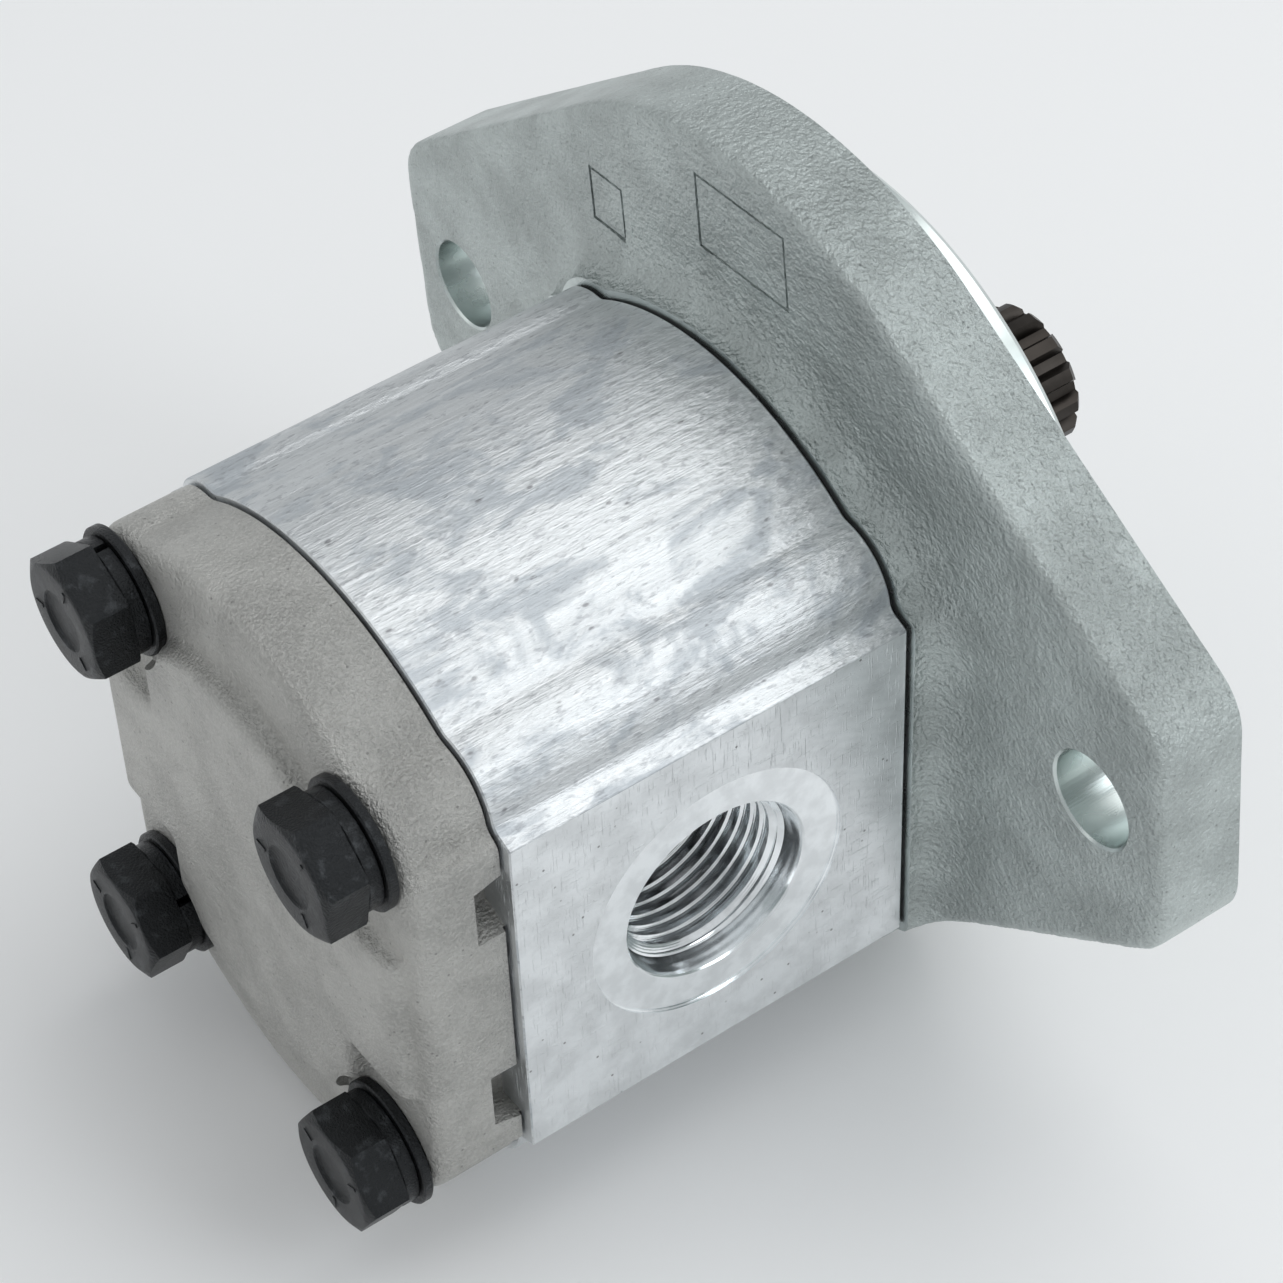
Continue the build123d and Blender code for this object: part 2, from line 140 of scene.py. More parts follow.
# --- body and ports ----------------------------------------------------------------
BOLT_HOLE = 5.5 * MM
BODY_LIP_ROUND = 0.5 * MM
BODY_EDGE = 0.22 * MM
SEAT_DEPTH = 3.4 * MM
PORT_DEPTH = 21 * MM
INLET = {
    "spot": 20.6 * MM, "mouth": 14.6 * MM, "seat": 13.7 * MM, "bore": INLET_BORE,
    "throat": 10 * MM, "major": 13.5 * MM, "pitch": 2.117 * MM,
}
OUTLET = {
    "spot": 17 * MM, "mouth": 12.2 * MM, "seat": 11.3 * MM, "bore": OUTLET_BORE,
    "throat": 8 * MM, "major": 11.1 * MM, "pitch": 1.814 * MM,
}
THREAD_TURNS = 7
STEPS_PER_TURN = 60

# --- rear cover --------------------------------------------------------------------
COVER_GROW = -0.8 * MM
COVER_HALF_WIDTH = cover_high.x
COVER_EDGE = 2.6 * MM
PANEL_RADIUS = 34.5 * MM
PANEL_HALF_WIDTH = 23.5 * MM
PANEL_SIDE = (36 * MM, 14.1 * MM)
PANEL_EDGE = 2 * MM
COVER_LIP_ROUND = 1.5 * MM
COVER_JOINT_DEPTH = 0.7 * MM
SPOT_RADIUS = 11 * MM
POCKET_Z = 19 * MM
POCKET_HALF = 6.35 * MM

# --- fasteners ---------------------------------------------------------------------
SHANK_RADIUS = 4.95 * MM
FLAT_WASHER_BORE = 5.3 * MM
LOCK_WASHER_BORE = 5.2 * MM
LOCK_WASHER_RADIUS = 8.6 * MM
LOCK_WASHER_SLIT = math.radians(8)
BROKEN_EDGE = 0.14 * MM


class PumpSizes(bpy.types.PropertyGroup):
    """Sizes that may be changed without moving a joint or a mount"""

    casting_voxel: bpy.props.FloatProperty(
        name="Flange skin", description="Cell size of the flange's cast skin",
        default=0.85 * MM, unit="LENGTH", precision=5)
    cover_voxel: bpy.props.FloatProperty(
        name="Cover skin", description="Cell size of the rear cover's cast skin",
        default=0.62 * MM, unit="LENGTH", precision=5)
    cast_waviness: bpy.props.FloatProperty(
        name="Cast waviness", description="How far the cast skins wander from flat",
        default=0.05 * MM, unit="LENGTH", precision=5)
    # The dark line at each seam is a real groove whose walls are also painted near-black as shade
    seam_gap: bpy.props.FloatProperty(
        name="Seam gap", description="Width of the dark line at each seam of the body",
        default=0.45 * MM, unit="LENGTH", precision=5)
    seam_depth: bpy.props.FloatProperty(
        name="Seam depth", description="Depth of the dark line at each seam of the body",
        default=0.75 * MM, unit="LENGTH", precision=5)
    spot_depth: bpy.props.FloatProperty(
        name="Spot face depth", description="Depth of the turned ring round each port",
        default=0.4 * MM, unit="LENGTH", precision=5)
    head_flats: bpy.props.FloatProperty(
        name="Across flats", description="Width of the bolt heads across flats",
        default=17 * MM, unit="LENGTH", precision=5)


class PumpColours(bpy.types.PropertyGroup):
    """Base colours of the metals"""

    zinc: bpy.props.FloatVectorProperty(
        name="Zinc plate", description="Zinc-plated casting", subtype="COLOR",
        size=3, min=0, max=1, default=(0.50, 0.545, 0.535))
    aluminium: bpy.props.FloatVectorProperty(
        name="Aluminium", description="Extruded and machined aluminium", subtype="COLOR",
        size=3, min=0, max=1, default=(0.66, 0.68, 0.69))
    die_cast: bpy.props.FloatVectorProperty(
        name="Die casting", description="Die-cast rear cover", subtype="COLOR",
        size=3, min=0, max=1, default=(0.47, 0.465, 0.445))
    black_oxide: bpy.props.FloatVectorProperty(
        name="Black oxide", description="Blackened bolts and washers", subtype="COLOR",
        size=3, min=0, max=1, default=(0.02, 0.0215, 0.023))


# --- outlines ----------------------------------------------------------------------
def heading(x, z):
    """Angle of a direction in the plane across the pump's axis"""
    return math.atan2(z, x)


def arc(centre, radius, first, last, steps):
    """Points (x, z) on an arc, taken the short way round"""
    sweep = (last - first + math.pi) % (2 * math.pi) - math.pi
    return [
        (centre[0] + radius * math.cos(first + sweep * i / steps),
         centre[1] + radius * math.sin(first + sweep * i / steps))
        for i in range(steps + 1)
    ]


def meeting_point(first, first_distance, second, second_distance):
    """Left of the line from first to second, at the given distance from each"""
    first, second = Vector(first), Vector(second)
    span = (second - first).length
    ahead = (second - first) / span
    along = (first_distance**2 - second_distance**2 + span**2) / (2 * span)
    aside = math.sqrt(first_distance**2 - along**2)
    return first + ahead * along + Vector((-ahead.y, ahead.x)) * aside


def section(grow, half_width, lip_round, top_blend, lip_blend):
    """Closed outline of body, neck or cover about its own middle"""
    normal = Vector((math.sin(LIP_SLOPE), math.cos(LIP_SLOPE)))
    down = Vector((normal.y, -normal.x))
    boss = Vector((BOLT_X, BOLT_Z))
    boss_radius = BOSS_RADIUS + grow
    radius = BODY_RADIUS + grow
    lip_level = normal.dot(Vector((HALF_WIDTH, LIP_Z))) + grow
    top_centre = meeting_point((0, 0), radius + top_blend, boss, boss_radius + top_blend)
    rise = lip_level + lip_blend - normal.dot(boss)
    reach = math.sqrt((boss_radius + lip_blend) ** 2 - rise**2)
    low_centre = boss + normal * rise + down * reach
    corner_x = half_width - lip_round
    corner = Vector((corner_x, (lip_level - lip_round - normal.x * corner_x) / normal.y))
    to_top = top_centre - boss
    to_low = low_centre - boss
    quarter = arc((0, 0), radius, math.pi / 2, heading(*top_centre), 22)
    quarter += arc(top_centre, top_blend, heading(*-top_centre), heading(*-to_top), 8)[1:]
    quarter += arc(boss, boss_radius, heading(*to_top), heading(*to_low), 22)[1:]
    quarter += arc(low_centre, lip_blend, heading(*-to_low), heading(*-normal), 8)[1:]
    quarter += arc(corner, lip_round, heading(*normal), 0, 5)
    quarter.append((half_width, 0))
    right = quarter + [(x, -z) for x, z in reversed(quarter[:-1])]
    left = [(-x, z) for x, z in reversed(right[1:-1])]
    return [(x, z + MID_Z) for x, z in right + left]


def rounded_hull(circles, steps):
    """Outline drawn tight round circles (x, z, radius), counter-clockwise"""
    normals = []
    for (x0, z0, r0), (x1, z1, r1) in zip(circles, circles[1:] + circles[:1]):
        gap = math.hypot(x1 - x0, z1 - z0)
        normals.append(heading(x1 - x0, z1 - z0) - math.acos((r0 - r1) / gap))
    points = []
    for i, (x, z, radius) in enumerate(circles):
        start = normals[i - 1]
        sweep = (normals[i] - start) % (2 * math.pi)
        for k in range(steps + 1):
            turn = start + sweep * k / steps
            points.append((x + radius * math.cos(turn), z + radius * math.sin(turn)))
    return points


def flange_outline(inset):
    """Disc and two ears, turned as the ears stand on the pump"""
    ear_x, ear_z = EAR_CENTRE
    ear = EAR_ROUND - inset
    disc = (0, 0, FLANGE_DISC - inset)
    circles = [
        (ear_x, -ear_z, ear), (ear_x, ear_z, ear), disc,
        (-ear_x, ear_z, ear), (-ear_x, -ear_z, ear), disc,
    ]
    return [
        (x * math.cos(FLANGE_TURN) - z * math.sin(FLANGE_TURN),
         x * math.sin(FLANGE_TURN) + z * math.cos(FLANGE_TURN))
        for x, z in rounded_hull(circles, 28)
    ]


# --- shapes ------------------------------------------------------------------------
def loft(shape, rings):
    """Adds a closed shell through rings (y, points) of equal count"""
    y, points = rings[0]
    ring = [shape.verts.new((x, y, z)) for x, z in points]
    cap = shape.faces.new(ring)
    started = False
    for y, points in rings[1:]:
        order = {tuple(vert.co): i for i, vert in enumerate(ring)}
        spent = cap
        grown = bmesh.ops.extrude_face_region(shape, geom=[cap])["geom"]
        cap = [part for part in grown if isinstance(part, bmesh.types.BMFace)][0]
        if started:
            bmesh.ops.delete(shape, geom=[spent], context="FACES_ONLY")
        started = True
        fresh = [None] * len(ring)
        for vert in cap.verts:
            fresh[order[tuple(vert.co)]] = vert
        for vert, (x, z) in zip(fresh, points):
            vert.co = (x, y, z)
        ring = fresh
    return shape


def spin_profile(shape, profile, centre, axis, steps=96):
    """Adds a closed shell of revolution; the profile is (radius, distance along the axis)"""
    centre, axis = Vector(centre), Vector(axis)
    aside = Vector((1, 0, 0)) if abs(axis.y) > 0.5 else Vector((0, 0, 1))
    verts = [shape.verts.new(centre + axis * along + aside * radius) for radius, along in profile]
    ends = zip(verts, verts[1:] + verts[:1], profile, profile[1:] + profile[:1])
    edges = [shape.edges.new((a, b)) for a, b, p, q in ends if p[0] or q[0]]
    bmesh.ops.spin(
        shape, geom=verts + edges, cent=centre, axis=axis,
        angle=2 * math.pi, steps=steps, use_merge=True)
    return shape


def block(shape, low, high):
    """Adds a box and returns its verts"""
    low, high = Vector(low), Vector(high)
    size = high - low
    place = Matrix.Translation((low + high) / 2) @ Matrix.Diagonal((*size, 1))
    return bmesh.ops.create_cube(shape, size=1, matrix=place)["verts"]


def settle(shape):
    """Welds doubles and turns every face outwards"""
    bmesh.ops.remove_doubles(shape, verts=shape.verts, dist=1e-7)
    loose = [vert for vert in shape.verts if not vert.link_faces]
    bmesh.ops.delete(shape, geom=loose, context="VERTS")
    bmesh.ops.recalc_face_normals(shape, faces=shape.faces)


def as_object(name, shape, finishes=(), finish=0):
    """Makes an object of a bmesh, at the origin"""
    settle(shape)
    for face in shape.faces:
        face.material_index = finish
        face.smooth = True
    mesh = bpy.data.meshes.new(name)
    shape.to_mesh(mesh)
    shape.free()
    piece = bpy.data.objects.new(name, mesh)
    bpy.context.scene.collection.objects.link(piece)
    for material in finishes:
        mesh.materials.append(material)
    return piece


def apply_modifiers(piece):
    """Bakes a piece's modifiers into its mesh"""
    graph = bpy.context.evaluated_depsgraph_get()
    mesh = bpy.data.meshes.new_from_object(piece.evaluated_get(graph))
    if not mesh.polygons:
        raise RuntimeError(f"{piece.name} came out empty")
    spent = piece.data
    piece.modifiers.clear()
    piece.data = mesh
    bpy.data.meshes.remove(spent)
    mesh.name = piece.name


def carve(piece, shape, operation="DIFFERENCE", finish=0):
    """Exact Boolean of a piece with a bmesh; cut faces take the given finish"""
    tool = as_object("tool", shape, list(piece.data.materials), finish)
    change = piece.modifiers.new("carve", "BOOLEAN")
    change.solver = "EXACT"
    change.operation = operation
    change.object = tool
    apply_modifiers(piece)
    spent = tool.data
    bpy.data.objects.remove(tool)
    bpy.data.meshes.remove(spent)


def cast_skin(piece, voxel, waviness, seed):
    """Merges the shells of a piece into one skin with soft, slightly uneven faces"""
    skin = piece.modifiers.new("skin", "REMESH")
    skin.mode = "VOXEL"
    skin.voxel_size = voxel
    apply_modifiers(piece)
    shape = bmesh.new()
    shape.from_mesh(piece.data)
    for _ in range(3):
        bmesh.ops.smooth_vert(
            shape, verts=shape.verts, factor=0.5,
            use_axis_x=True, use_axis_y=True, use_axis_z=True)
    shape.normal_update()
    shift = Vector((seed * 7.1, seed * 3.7, seed * 1.9))
    for vert in shape.verts:
        broad = noise.noise(vert.co / (9 * MM) + shift)
        fine = noise.noise(vert.co / (3 * MM) + shift)
        vert.co += vert.normal * (broad + 0.5 * fine) * waviness
    for face in shape.faces:
        face.smooth = True
    shape.to_mesh(piece.data)
    shape.free()


def merge(name, parts, finishes):
    """One object from several, which are removed"""
    shape = bmesh.new()
    for part in parts:
        shape.from_mesh(part.data)
        spent = part.data
        bpy.data.objects.remove(part)
        bpy.data.meshes.remove(spent)
    return as_object(name, shape, finishes)


def soften(piece, width):
    """Breaks the sharp edges of a piece"""
    edge = piece.modifiers.new("edges", "BEVEL")
    edge.width = width
    edge.segments = 2
    edge.limit_method = "ANGLE"
    edge.angle_limit = math.radians(35)
    apply_modifiers(piece)


def finish_piece(piece, body, nodes, crease=32):
    """Shades a piece, hangs it under its body's empty and hides the CAD nodes it replaces"""
    piece.data.shade_smooth()
    piece.data.set_sharp_from_angle(angle=math.radians(crease))
    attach(piece, body)
    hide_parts(*nodes)


# --- finishes ----------------------------------------------------------------------
class Value:
    """A socket in a finish; arithmetic on it adds Math nodes"""

    def __init__(self, finish, socket):
        self.finish = finish
        self.socket = socket

    def math(self, operation, *terms):
        return self.finish.node("ShaderNodeMath", {"operation": operation}, dict(enumerate(terms)))

    def __add__(self, other):
        return self.math("ADD", self, other)

    def __radd__(self, other):
        return self.math("ADD", other, self)

    def __sub__(self, other):
        return self.math("SUBTRACT", self, other)

    def __rsub__(self, other):
        return self.math("SUBTRACT", other, self)

    def __mul__(self, other):
        return self.math("MULTIPLY", self, other)

    def __rmul__(self, other):
        return self.math("MULTIPLY", other, self)

    def sine(self):
        return self.math("SINE", self)

    def ramp(self, low, high):
        """0 below low, 1 above high, smooth between"""
        settings = {"interpolation_type": "SMOOTHSTEP"}
        values = {"Value": self, "From Min": low, "From Max": high}
        return self.finish.node("ShaderNodeMapRange", settings, values)


class Finish:
    """A material made from nodes"""

    def __init__(self, name):
        self.material = bpy.data.materials.new(FINISH_PREFIX + name)
        self.material.use_nodes = True
        self.tree = self.material.node_tree
        self.tree.nodes.clear()

    def node(self, kind, settings=None, values=None, out=0):
        made = self.tree.nodes.new(kind)
        for key, value in (settings or {}).items():
            setattr(made, key, value)
        for key, value in (values or {}).items():
            if isinstance(value, Value):
                self.tree.links.new(value.socket, made.inputs[key])
            else:
                made.inputs[key].default_value = value
        return Value(self, made.outputs[out]) if made.outputs else None

    def place(self, scale=(1, 1, 1), turn=(0, 0, 0), shift=(0, 0, 0)):
        """Object coordinates, shifted, turned and scaled"""
        where = self.node("ShaderNodeTexCoord", out="Object")
        values = {"Vector": where, "Scale": scale, "Rotation": turn, "Location": shift}
        return self.node("ShaderNodeMapping", {}, values)

    def noise(self, size, detail=2.0, rough=0.5, where=None, warp=0.0):
        values = {
            "Vector": where or self.place(), "Scale": 1 / size, "Detail": detail,
            "Roughness": rough, "Distortion": warp,
        }
        return self.node("ShaderNodeTexNoise", {}, values, "Fac")

    def cells(self, size, where=None):
        values = {"Vector": where or self.place(), "Scale": 1 / size}
        return self.node("ShaderNodeTexVoronoi", {}, values, "Distance")

    def blend(self, factor, first, second):
        """A colour between two, through the Mix node's colour sockets"""
        values = {0: factor, 6: first, 7: second}
        return self.node("ShaderNodeMix", {"data_type": "RGBA"}, values, 2)

    def bump(self, height, distance, strength=1.0):
        values = {"Height": height, "Distance": distance, "Strength": strength}
        return self.node("ShaderNodeBump", {}, values)

    def distance_from(self, centre, along):
        """Distance from an axis through centre, in the plane across it"""
        scale = tuple(0 if axis == along else 1 for axis in "xyz")
        shift = tuple(-value * keep for value, keep in zip(centre, scale))
        where = self.place(scale, (0, 0, 0), shift)
        return self.node("ShaderNodeVectorMath", {"operation": "LENGTH"}, {0: where}, "Value")

    def shader(self, colour, roughness, metallic, normal=None):
        values = {"Base Color": colour, "Roughness": roughness, "Metallic": metallic}
        if normal:
            values["Normal"] = normal
        surface = self.node("ShaderNodeBsdfPrincipled", {}, values)
        self.node("ShaderNodeOutputMaterial", {}, {"Surface": surface})
        return self.material


def tinted(colour, factor):
    """A colour made lighter or darker, with its alpha"""
    return (*[min(1.0, part * factor) for part in colour], 1)


def zinc_casting(colour):
    finish = Finish("zinc_plated_casting")
    grain = finish.noise(0.42 * MM, 3, 0.6)
    pebble = finish.noise(1.0 * MM, 1.5, 0.5)
    clouds = finish.noise(14 * MM, 4, 0.6)
    flecks = finish.cells(1.7 * MM)
    tone = clouds * 0.7 + grain * 0.3
    base = finish.blend(tone.ramp(0.36, 0.64), tinted(colour, 0.8), tinted(colour, 1.1))
    base = finish.blend(1 - flecks.ramp(0.05, 0.16), base, tinted(colour, 0.62))
    height = pebble * 0.6 + grain * 0.4
    return finish.shader(base, 0.24 + grain * 0.2, 0.92, finish.bump(height, 1.0 * MM, 1.0))


def machined_zinc(colour):
    finish = Finish("machined_zinc")
    radius = finish.distance_from((0, 0, 0), "y")
    rings = (radius * (2 * math.pi / (0.35 * MM))).sine()
    clouds = finish.noise(9 * MM, 3, 0.6)
    base = finish.blend(clouds.ramp(0.35, 0.65), tinted(colour, 1.08), tinted(colour, 1.3))
    return finish.shader(base, 0.2 + clouds * 0.16, 0.95, finish.bump(rings, 0.004 * MM, 0.5))


def extruded_aluminium(colour):
    finish = Finish("extruded_aluminium")
    lines = finish.noise(0.22 * MM, 3, 0.7, finish.place((1, 0.012, 1)))
    broad = finish.noise(1.6 * MM, 2, 0.6, finish.place((1, 0.02, 1)))
    stains = finish.noise(9 * MM, 5, 0.62, finish.place((1, 0.6, 1)), 0.6)
    spots = finish.cells(2.6 * MM, finish.place((1, 0.55, 1)))
    specks = finish.noise(0.8 * MM, 2, 0.6, finish.place((1, 0.35, 1)))
    base = finish.blend(broad.ramp(0.3, 0.7), tinted(colour, 0.92), tinted(colour, 1.05))
    base = finish.blend(stains.ramp(0.5, 0.62) * 0.5, base, tinted((0.38, 0.42, 0.46), 1))
    base = finish.blend(specks.ramp(0.56, 0.68) * 0.45, base, (0.3, 0.31, 0.33, 1))
    dark_spots = (1 - spots.ramp(0.06, 0.15)) * specks.ramp(0.45, 0.6) * 0.8
    base = finish.blend(dark_spots, base, (0.24, 0.24, 0.25, 1))
    roughness = 0.3 + lines * 0.2 + stains.ramp(0.48, 0.62) * 0.12
    height = lines * 0.25 + broad * 0.25 + specks * 0.5
    return finish.shader(base, roughness, 0.92, finish.bump(height, 0.42 * MM, 1.0))


def milled_aluminium(colour):
    finish = Finish("milled_aluminium")
    swirl = finish.distance_from((0, PORT_Y - 0.03, MID_Z - 0.09), "x")
    arcs = (swirl * (2 * math.pi / (1.5 * MM))).sine()
    scratches = finish.noise(0.25 * MM, 2, 0.6, finish.place((1, 1, 0.05), (0.5, 0, 0)))
    crossed = finish.noise(0.25 * MM, 2, 0.6, finish.place((1, 0.05, 1), (-0.35, 0, 0)))
    clouds = finish.noise(7 * MM, 4, 0.6)
    pits = finish.cells(3.1 * MM)
    base = finish.blend(clouds.ramp(0.35, 0.65), tinted(colour, 1.05), tinted(colour, 1.25))
    base = finish.blend((1 - pits.ramp(0.04, 0.09)), base, (0.3, 0.3, 0.3, 1))
    height = arcs * 0.07 + scratches.ramp(0.6, 0.72) + crossed.ramp(0.62, 0.74)
    roughness = 0.32 + clouds * 0.14
    return finish.shader(base, roughness, 0.92, finish.bump(height, 0.09 * MM, 0.8))


def turned_aluminium(colour):
    finish = Finish("turned_aluminium")
    radius = finish.distance_from((0, PORT_Y, MID_Z), "x")
    rings = (radius * (2 * math.pi / (0.3 * MM))).sine()
    clouds = finish.noise(4 * MM, 3, 0.6)
    base = finish.blend(clouds.ramp(0.35, 0.65), tinted(colour, 1.2), tinted(colour, 1.4))
    return finish.shader(base, 0.1 + clouds * 0.1, 1.0, finish.bump(rings, 0.006 * MM, 0.6))


def die_casting(colour):
    finish = Finish("die_cast_aluminium")
    grain = finish.noise(0.5 * MM, 3, 0.65)
    clouds = finish.noise(11 * MM, 4, 0.6, None, 0.4)
    flow = finish.noise(3 * MM, 3, 0.6, finish.place((1, 0.35, 1)))
    specks = finish.cells(2.2 * MM)
    base = finish.blend(clouds.ramp(0.35, 0.65), tinted(colour, 0.86), tinted(colour, 1.06))
    base = finish.blend(grain.ramp(0.42, 0.62) * 0.35, base, tinted(colour, 1.35))
    base = finish.blend((1 - specks.ramp(0.05, 0.13)) * 0.7, base, tinted(colour, 0.45))
    height = grain * 0.5 + flow * 0.5
    return finish.shader(base, 0.38 + flow * 0.14, 0.85, finish.bump(height, 1.2 * MM, 1.0))


def black_oxide(colour):
    finish = Finish("black_oxide")
    grain = finish.noise(0.35 * MM, 3, 0.6)
    wear = finish.noise(2.4 * MM, 4, 0.65)
    base = finish.blend(wear.ramp(0.52, 0.7), tinted(colour, 1), tinted(colour, 2.4))
    height = grain * 0.6 + wear * 0.4
    return finish.shader(base, 0.24 + grain * 0.2, 0.75, finish.bump(height, 0.45 * MM, 0.9))


def steel(name, colour, roughness):
    finish = Finish(name)
    turning = finish.noise(0.25 * MM, 3, 0.6, finish.place((0.05, 1, 0.05)))
    clouds = finish.noise(5 * MM, 3, 0.6)
    base = finish.blend(clouds.ramp(0.35, 0.65), tinted(colour, 0.85), tinted(colour, 1.12))
    return finish.shader(
        base, roughness + clouds * 0.12, 1.0, finish.bump(turning, 0.008 * MM, 0.6))


def plain_part(name, colour, roughness, metallic, size):
    finish = Finish(name)
    grain = finish.noise(size, 3, 0.6)
    clouds = finish.noise(12 * size, 3, 0.6)
    base = finish.blend(clouds.ramp(0.35, 0.65), tinted(colour, 0.85), tinted(colour, 1.15))
    return finish.shader(
        base, roughness + grain * 0.15, metallic, finish.bump(grain, 0.03 * MM, 0.6))


# --- operators ---------------------------------------------------------------------
def finish_set():
    """The pump's materials, made once and then found by name"""
    colours = bpy.context.scene.pump_colours
    makers = {
        "zinc_plated_casting": lambda: zinc_casting(colours.zinc),
        "machined_zinc": lambda: machined_zinc(colours.zinc),
        "extruded_aluminium": lambda: extruded_aluminium(colours.aluminium),
        "milled_aluminium": lambda: milled_aluminium(colours.aluminium),
        "turned_aluminium": lambda: turned_aluminium(colours.aluminium),
        "die_cast_aluminium": lambda: die_casting(colours.die_cast),
        "black_oxide": lambda: black_oxide(colours.black_oxide),
    }
    steels = {
        "spline_steel": ((0.045, 0.04, 0.036), 0.3),
        "ground_steel": ((0.56, 0.56, 0.57), 0.16),
        "spring_steel": ((0.42, 0.42, 0.43), 0.25),
    }
    plain = {
        "bearing_alloy": ((0.58, 0.58, 0.57), 0.3, 1.0, 0.4 * MM),
        "bush_bronze": ((0.50, 0.34, 0.16), 0.3, 1.0, 0.3 * MM),
        "seal_rubber": ((0.02, 0.02, 0.021), 0.5, 0.0, 0.25 * MM),
        "backup_plastic": ((0.62, 0.58, 0.48), 0.45, 0.0, 0.3 * MM),
        # Near-black finish for the seam grooves' walls: painted shade standing in for the shadow in
        # the gap, not a part of its own
        "painted_seam_shade": ((0.012, 0.012, 0.013), 0.6, 0.0, 0.3 * MM),
    }

    def find(name):
        made = bpy.data.materials.get(FINISH_PREFIX + name)
        if made:
            return made
        if name in steels:
            return steel(name, *steels[name])
        if name in plain:
            return plain_part(name, *plain[name])
        return makers[name]()

    return find


class PUMP_OT_flange(bpy.types.Operator):
    """Casts the flange with its neck and machines its face, spigot and holes"""

    bl_idname = "pump.flange"
    bl_label = "Front cover"

    def execute(self, context):
        sizes = context.scene.pump_sizes
        find = finish_set()
        finishes = [find("zinc_plated_casting"), find("machined_zinc")]
        extra = 2 * MM

        def neck(grow, lip_round=NECK_LIP_ROUND):
            return section(grow, HALF_WIDTH + grow, lip_round, *NECK_BLENDS)

        skirt = [(SEAM_FRONT - extra, neck(NECK_GROW))]
        for i in range(9):
            turn = math.pi / 2 * i / 8
            out = FILLET_OUT * (1 - math.cos(turn))
            outline = neck(NECK_GROW + out, NECK_LIP_ROUND + out * 0.25)
            skirt.append((SEAM_FRONT - FILLET_DEEP * math.sin(turn), outline))
        skirt.append((extra, skirt[-1][1]))
        ends = (SEAM_FRONT - 2 * extra, extra / 2)
        flange_trim = [(y, flange_outline(0.4 * MM)) for y in ends]
        footprint = [(y, neck(NECK_GROW + 0.1 * MM)) for y in (SEAM_FRONT - 3 * extra, extra / 2)]
        plate = []
        for i in range(7):
            turn = math.pi / 2 * i / 6
            inset = FLANGE_EDGE * (1 - math.sin(turn))
            plate.append((PLATE_REAR + FLANGE_EDGE * (1 - math.cos(turn)), flange_outline(inset)))
        plate.append((extra, flange_outline(0)))
        parts = [as_object("plate", loft(bmesh.new(), plate))]
        for limit in (flange_trim, footprint):
            part = as_object("skirt", loft(bmesh.new(), skirt))
            carve(part, loft(bmesh.new(), limit), "INTERSECT")
            parts.append(part)
        blank = merge("front_cover_casting", parts, finishes)
        cast_skin(blank, sizes.casting_voxel, sizes.cast_waviness, 1)

        reach = 2 * EAR_BOLT_X
        for rear, front in ((0, 5 * extra), (SEAM_FRONT - 5 * extra, SEAM_FRONT)):
            facing = bmesh.new()
            block(facing, (-reach, rear, -reach), (reach, front, reach))
            carve(blank, facing, finish=1)

        length = flange_high.y
        pilot = spin_profile(bmesh.new(), [
            (0, -MM), (PILOT_RADIUS - MM, -MM), (PILOT_RADIUS - MM, 0), (PILOT_RADIUS, 0),
            (PILOT_RADIUS, length - MM), (PILOT_RADIUS - MM, length), (0, length),
        ], (0, 0, 0), (0, 1, 0), 160)
        carve(blank, pilot, "UNION", 1)
        bore = spin_profile(bmesh.new(), [
            (0, SEAM_FRONT - MM), (SHAFT_BORE, SEAM_FRONT - MM), (SHAFT_BORE, SEAL_FLOOR),
            (SEAL_POCKET, SEAL_FLOOR), (SEAL_POCKET, RING_REAR), (RING_GROOVE, RING_REAR),
            (RING_GROOVE, RING_FRONT), (SEAL_POCKET, RING_FRONT), (SEAL_POCKET, length - 0.6 * MM),
            (18.4 * MM, length + 0.3 * MM), (18.4 * MM, length + MM), (0, length + MM),
        ], (0, 0, 0), (0, 1, 0))
        carve(blank, bore, finish=1)
        holes = bmesh.new()
        for side in (-1, 1):
            place = (
                side * EAR_BOLT_X * math.cos(FLANGE_TURN), 0,
                side * EAR_BOLT_X * math.sin(FLANGE_TURN))
            rim = EAR_HOLE_RADIUS
            spin_profile(holes, [
                (0, PLATE_REAR - MM), (rim + 1.35 * MM, PLATE_REAR - MM),
                (rim, PLATE_REAR + 0.35 * MM), (rim, -0.35 * MM), (rim + 1.35 * MM, MM), (0, MM),
            ], place, (0, 1, 0), 72)
        for x, z in BOLTS:
            spin_profile(holes, [
                (0, SEAM_FRONT - MM), (TAPPED_HOLE, SEAM_FRONT - MM),
                (TAPPED_HOLE, TAPPED_END), (0, TAPPED_END),
            ], (x, 0, z), (0, 1, 0), 48)
        carve(blank, holes, finish=1)
        self.marks(blank)
        finish_piece(blank, HOUSING, ["front_cover"])
        return {"FINISHED"}

    def marks(self, blank):
        """Two blank sunk frames and a dot on the rear of the flange"""
        turn = Matrix.Rotation(-FLANGE_TURN, 4, "Y")
        for x, z, wide, high in MARK_FRAMES:
            centre = Matrix.Translation((x, PLATE_REAR, z)) @ turn
            for inset, low, high_y, change in (
                (0, -MM, MARK_DEPTH, "DIFFERENCE"), (MARK_LINE, 0.03 * MM, MM, "UNION"),
            ):
                shape = bmesh.new()
                corner = (wide - inset, high - inset)
                verts = block(shape, (-corner[0], low, -corner[1]), (corner[0], high_y, corner[1]))
                bmesh.ops.transform(shape, matrix=centre, verts=verts)
                carve(blank, shape, change)
        dot = spin_profile(bmesh.new(), [
            (0, -0.3 * MM), (0.8 * MM, -0.25 * MM), (1.0 * MM, MM), (0, MM),
        ], (MARK_DOT[0], PLATE_REAR, MARK_DOT[1]), (0, 1, 0), 24)
        carve(blank, dot, "UNION")


